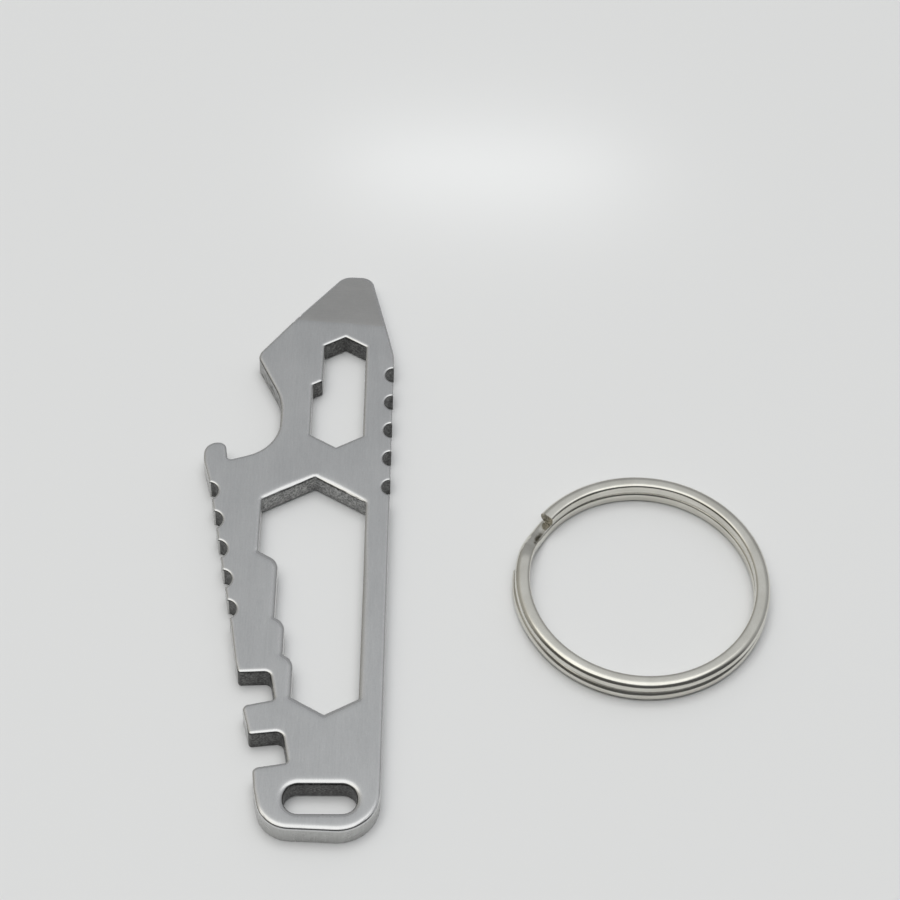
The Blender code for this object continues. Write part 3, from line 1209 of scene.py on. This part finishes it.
@dataclass
class Studio:
    """The pale table, the soft light round it and the camera."""

    aim: Vector = field(default_factory=lambda: Vector((10.861, 36.978, 0.0)) * MM)
    distance: float = 0.2754
    elevation: float = math.radians(53.21)
    heading: float = math.radians(1.65)
    roll: float = math.radians(2.95)
    lens: float = 108.0
    table_size: float = 3.0
    back_greys: tuple[tuple[float, float], ...] = (
        (0.0, 0.36), (0.5, 0.38), (0.64, 0.41), (0.76, 0.60), (0.87, 0.65), (0.93, 0.88))
    front_greys: tuple[tuple[float, float], ...] = ((0.0, 0.08), (0.8, 0.10), (0.95, 0.5))
    front_to_back: tuple[float, float] = (-0.30, 0.10)
    lowest_height: float = 0.05
    softbox_horizon: tuple[float, float] = (0.4, 0.5)
    softbox_sides: tuple[tuple[float, float], ...] = ((-0.95, -0.6), (0.6, 0.35))
    softbox_ends: tuple[tuple[float, float], ...] = ((-0.60, -0.36), (0.46, 0.22))
    softbox_colour: Colour = (1.32, 1.31, 1.28)
    tints: tuple[tuple[float, Colour], ...] = (
        (0.0, (1.0, 0.97, 0.87)), (0.45, (0.97, 0.985, 1.0)))
    overhead_lamp: Vector = field(default_factory=lambda: Vector((-0.06, 0.02, 1.0)))
    patch_centre: Vector = field(default_factory=lambda: Vector((14.3, 76.0, 0.0)) * MM)
    patch_height: float = 11 * MM

    def table(self) -> bpy.types.Object:
        """The table top, level with the plate's underside.

        Returns:
            The table's object.
        """
        work = bmesh.new()
        bmesh.ops.create_grid(work, x_segments=4, y_segments=4, size=self.table_size / 2)
        mesh = bpy.data.meshes.new("table_top")
        work.to_mesh(mesh)
        work.free()
        table = placed("table_top", mesh)
        table.location = (self.aim.x, self.aim.y, 0.0)
        mesh.materials.append(PaleBoard().material())
        return table

    def surroundings(self) -> None:
        """A soft sky: mid-grey behind the object, bright overhead and in front, dark low down."""
        world = bpy.data.worlds.new("studio_surroundings")
        world.use_nodes = True
        bpy.context.scene.world = world
        sky = NodeBoard(world.node_tree)
        directions = sky.node("SeparateXYZ")
        sky.join(sky.node("TexCoord").outputs["Generated"], directions.inputs[0])
        x, y, z = (directions.outputs[name] for name in "XYZ")
        back = sky.ramp(z, self.greys(self.back_greys))
        front = sky.ramp(z, self.greys(self.front_greys))
        both = sky.mix(sky.step(y, *self.front_to_back), front, back)
        height = sky.combine(z, self.lowest_height, "MAXIMUM")
        softbox = sky.step(z, *self.softbox_horizon)
        for level, sides in ((x, self.softbox_sides), (y, self.softbox_ends)):
            slope = sky.combine(level, height, "DIVIDE")
            for start, end in sides:
                softbox = sky.combine(softbox, sky.step(slope, start, end), "MULTIPLY")
        lit = sky.mix(softbox, both, self.softbox_colour)
        tint = sky.ramp(sky.span(x, 0.0, 1.0, -1.0, 1.0), list(self.tints))
        background = sky.tree.nodes["Background"]
        sky.join(sky.mix(1.0, lit, tint, "MULTIPLY"), background.inputs["Color"])
        background.inputs["Strength"].default_value = 1.0

    @staticmethod
    def greys(stops: tuple[tuple[float, float], ...]) -> Ramp:
        """Ramp stops of plain greys."""
        return [(position, (value,) * 3) for position, value in stops]

    def camera(self) -> bpy.types.Object:
        """The camera, looking down at the plate and the ring from the rounded end.

        Returns:
            The camera's object.
        """
        level = math.cos(self.elevation)
        forward = Vector((math.sin(self.heading) * level, math.cos(self.heading) * level,
                          -math.sin(self.elevation)))
        right = forward.cross(Vector((0.0, 0.0, 1.0))).normalized()
        above = right.cross(forward)
        across = right * math.cos(self.roll) + above * math.sin(self.roll)
        upward = above * math.cos(self.roll) - right * math.sin(self.roll)
        data = bpy.data.cameras.new("studio_camera")
        data.lens = self.lens
        data.sensor_width = 36.0
        data.clip_start = 0.01
        camera = placed("studio_camera", data)
        axes = Matrix((across, upward, -forward)).transposed().to_4x4()
        camera.matrix_world = Matrix.Translation(self.aim - forward * self.distance) @ axes
        bpy.context.scene.camera = camera
        return camera

    def lamp(self, name: str, place: Vector, target: Vector, size: tuple[float, float],
             power: float, colour: Colour) -> bpy.types.Object:
        """A soft rectangular lamp that points at a target.

        Args:
            name: The lamp's name.
            place: Where it hangs, in metres.
            target: The point it faces.
            size: Its width and height in metres.
            power: Its power in watts.
            colour: Its colour.

        Returns:
            The lamp's object.
        """
        data = bpy.data.lights.new(name, "AREA")
        data.shape = "RECTANGLE"
        data.size, data.size_y = size
        data.energy = power
        data.color = colour
        lamp = placed(name, data)
        lamp.location = place
        lamp.visible_glossy = False
        lamp.visible_camera = False
        lamp.rotation_euler = (target - place).to_track_quat("-Z", "Y").to_euler()
        return lamp

    def build(self) -> None:
        """Set up the table, the light and the camera."""
        self.table()
        self.surroundings()
        self.camera()
        self.lamp("overhead_softbox", self.aim + self.overhead_lamp, self.aim,
                  size=(0.95, 0.65), power=5.6, colour=(1.0, 1.0, 1.0))
        above_patch = self.patch_centre + Vector((0.0, 0.0, self.patch_height))
        self.lamp("light_patch", above_patch, self.patch_centre,
                  size=(0.03, 0.004), power=4.2e-4, colour=(0.98, 0.99, 1.0))
        bpy.context.scene.view_settings.view_transform = "Standard"
        LOG.info("studio: table, surroundings, lamp and camera")


def main() -> None:
    """Build the pieces and the studio in order."""
    logging.basicConfig(level=logging.INFO, format="%(name)s %(message)s")
    Studio().build()
    ToolPlate().build()
    SplitRing().build()


if __name__ == "__main__":
    main()
